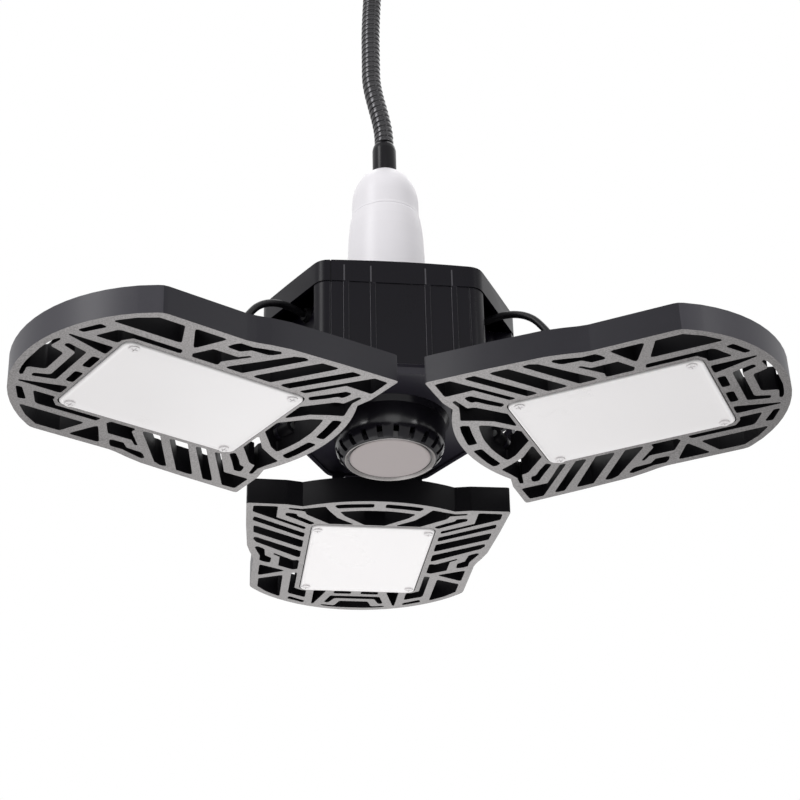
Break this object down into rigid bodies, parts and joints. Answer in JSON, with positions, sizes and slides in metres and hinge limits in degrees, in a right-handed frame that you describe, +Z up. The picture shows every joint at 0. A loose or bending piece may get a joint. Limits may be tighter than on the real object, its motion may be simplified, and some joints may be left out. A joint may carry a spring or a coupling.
{
  "type": "garage ceiling light",
  "caption": "Garage ceiling light with folding lattice panels round a black hub, screwed into a white lampholder on a ribbed gooseneck",
  "frame": {"origin": "centre of the two ceiling screw slots, on the strap face that lies against the ceiling", "axes": "+Z up into the ceiling, -Z down the lamp, -Y towards the gap between the left and right panels, which face the viewer in the picture"},
  "size_m": [0.3947, 0.363, 0.3976],
  "materials": {
    "steel": "zinc plated",
    "black_metal": "satin black",
    "bright_screw": "plated",
    "nylon": "matte",
    "wire": "matte",
    "brass": "plain",
    "gunmetal": "dark plated",
    "cable": "matte",
    "white_plastic": "semi gloss",
    "black_plastic": "fine texture",
    "bright_metal": "plain",
    "green_board": "matte",
    "grey_parts": "matte",
    "warm_grey_metal": "satin",
    "rubber": "matte",
    "cast_metal": "die cast, satin",
    "white_board": "matte",
    "led": "matte",
    "opal_lens": "opal"
  },
  "bodies": {
    "ceiling_fitting": {"ceiling_strap": "steel", "canopy": "black_metal", "canopy_screws": "bright_screw", "terminal_block": "nylon", "core_wires": "wire", "hose_lock_nut": "brass", "hose_collar": "gunmetal", "hose_upper": "gunmetal", "cable_upper": "cable"},
    "neck": {"hose_middle": "gunmetal", "cable_middle": "cable"},
    "lampholder": {"hose_lower": "gunmetal", "cable_lower": "cable", "holder_ferrule": "gunmetal", "holder_cap": "white_plastic", "holder_skirt": "white_plastic", "holder_carrier": "nylon", "holder_centre_contact": "brass", "holder_screw_shell": "brass", "holder_terminal_screws": "bright_screw"},
    "contact_button": {"base_contact": "bright_screw"},
    "hub": {"base_insulator": "black_plastic", "base_shell": "bright_metal", "lid": "black_plastic", "housing": "black_plastic", "base_plate": "black_metal", "driver_board": "green_board", "driver_parts": "grey_parts", "vent_bowl": "black_plastic", "bowl_rim": "bright_metal", "centre_disc": "warm_grey_metal", "hub_screws": "bright_screw", "hinge_pins": "steel", "lead_grommets": "rubber", "left_lead": "rubber", "right_lead": "rubber", "back_lead": "rubber"},
    "left_panel": {"left_frame": "cast_metal", "left_led_board": "white_board", "left_led_chips": "led", "left_gasket": "rubber", "left_lens": "opal_lens", "left_lens_screws": "bright_screw", "left_gland": "rubber"},
    "right_panel": {"right_frame": "cast_metal", "right_led_board": "white_board", "right_led_chips": "led", "right_gasket": "rubber", "right_lens": "opal_lens", "right_lens_screws": "bright_screw", "right_gland": "rubber"},
    "back_panel": {"back_frame": "cast_metal", "back_led_board": "white_board", "back_led_chips": "led", "back_gasket": "rubber", "back_lens": "opal_lens", "back_lens_screws": "bright_screw", "back_gland": "rubber"}
  },
  "joints": [
    {"name": "neck_swing", "type": "hinge", "parent": "ceiling_fitting", "child": "neck", "pos_m": [-0.00146, 0, -0.082], "axis": [0, 1, 0], "range_deg": [-40, 40], "deforming": ["hose_upper", "hose_middle", "cable_upper", "cable_middle"]},
    {"name": "neck_nod", "type": "hinge", "parent": "neck", "child": "lampholder", "pos_m": [-0.00161, 0, -0.136], "axis": [1, 0, 0], "range_deg": [-40, 40], "deforming": ["hose_middle", "hose_lower", "cable_middle", "cable_lower"]},
    {"name": "lamp_feed", "type": "slide", "parent": "lampholder", "child": "contact_button", "axis": [0, 0, 1], "range_m": [-0.011, 0]},
    {"name": "lamp_turn", "type": "hinge", "parent": "contact_button", "child": "hub", "pos_m": [0.005, 0, -0.274], "axis": [0, 0, 1], "range_deg": [-1080, 0]},
    {"name": "left_tilt", "type": "hinge", "parent": "hub", "child": "left_panel", "pos_m": [-0.0435, -0.028, -0.3827], "axis": [0.5, -0.866, 0], "range_deg": [-4, 89], "deforming": ["left_lead"]},
    {"name": "right_tilt", "type": "hinge", "parent": "hub", "child": "right_panel", "pos_m": [0.0535, -0.028, -0.3827], "axis": [0.5, 0.866, 0], "range_deg": [-2, 91], "deforming": ["right_lead"]},
    {"name": "back_tilt", "type": "hinge", "parent": "hub", "child": "back_panel", "pos_m": [0.005, 0.056, -0.3827], "axis": [-1, 0, 0], "range_deg": [-0.5, 92.5], "deforming": ["back_lead"]}
  ],
  "couplings": [
    {"joint": "lamp_feed", "follows": "lamp_turn", "m_per_rad": 0.0005775}
  ]
}
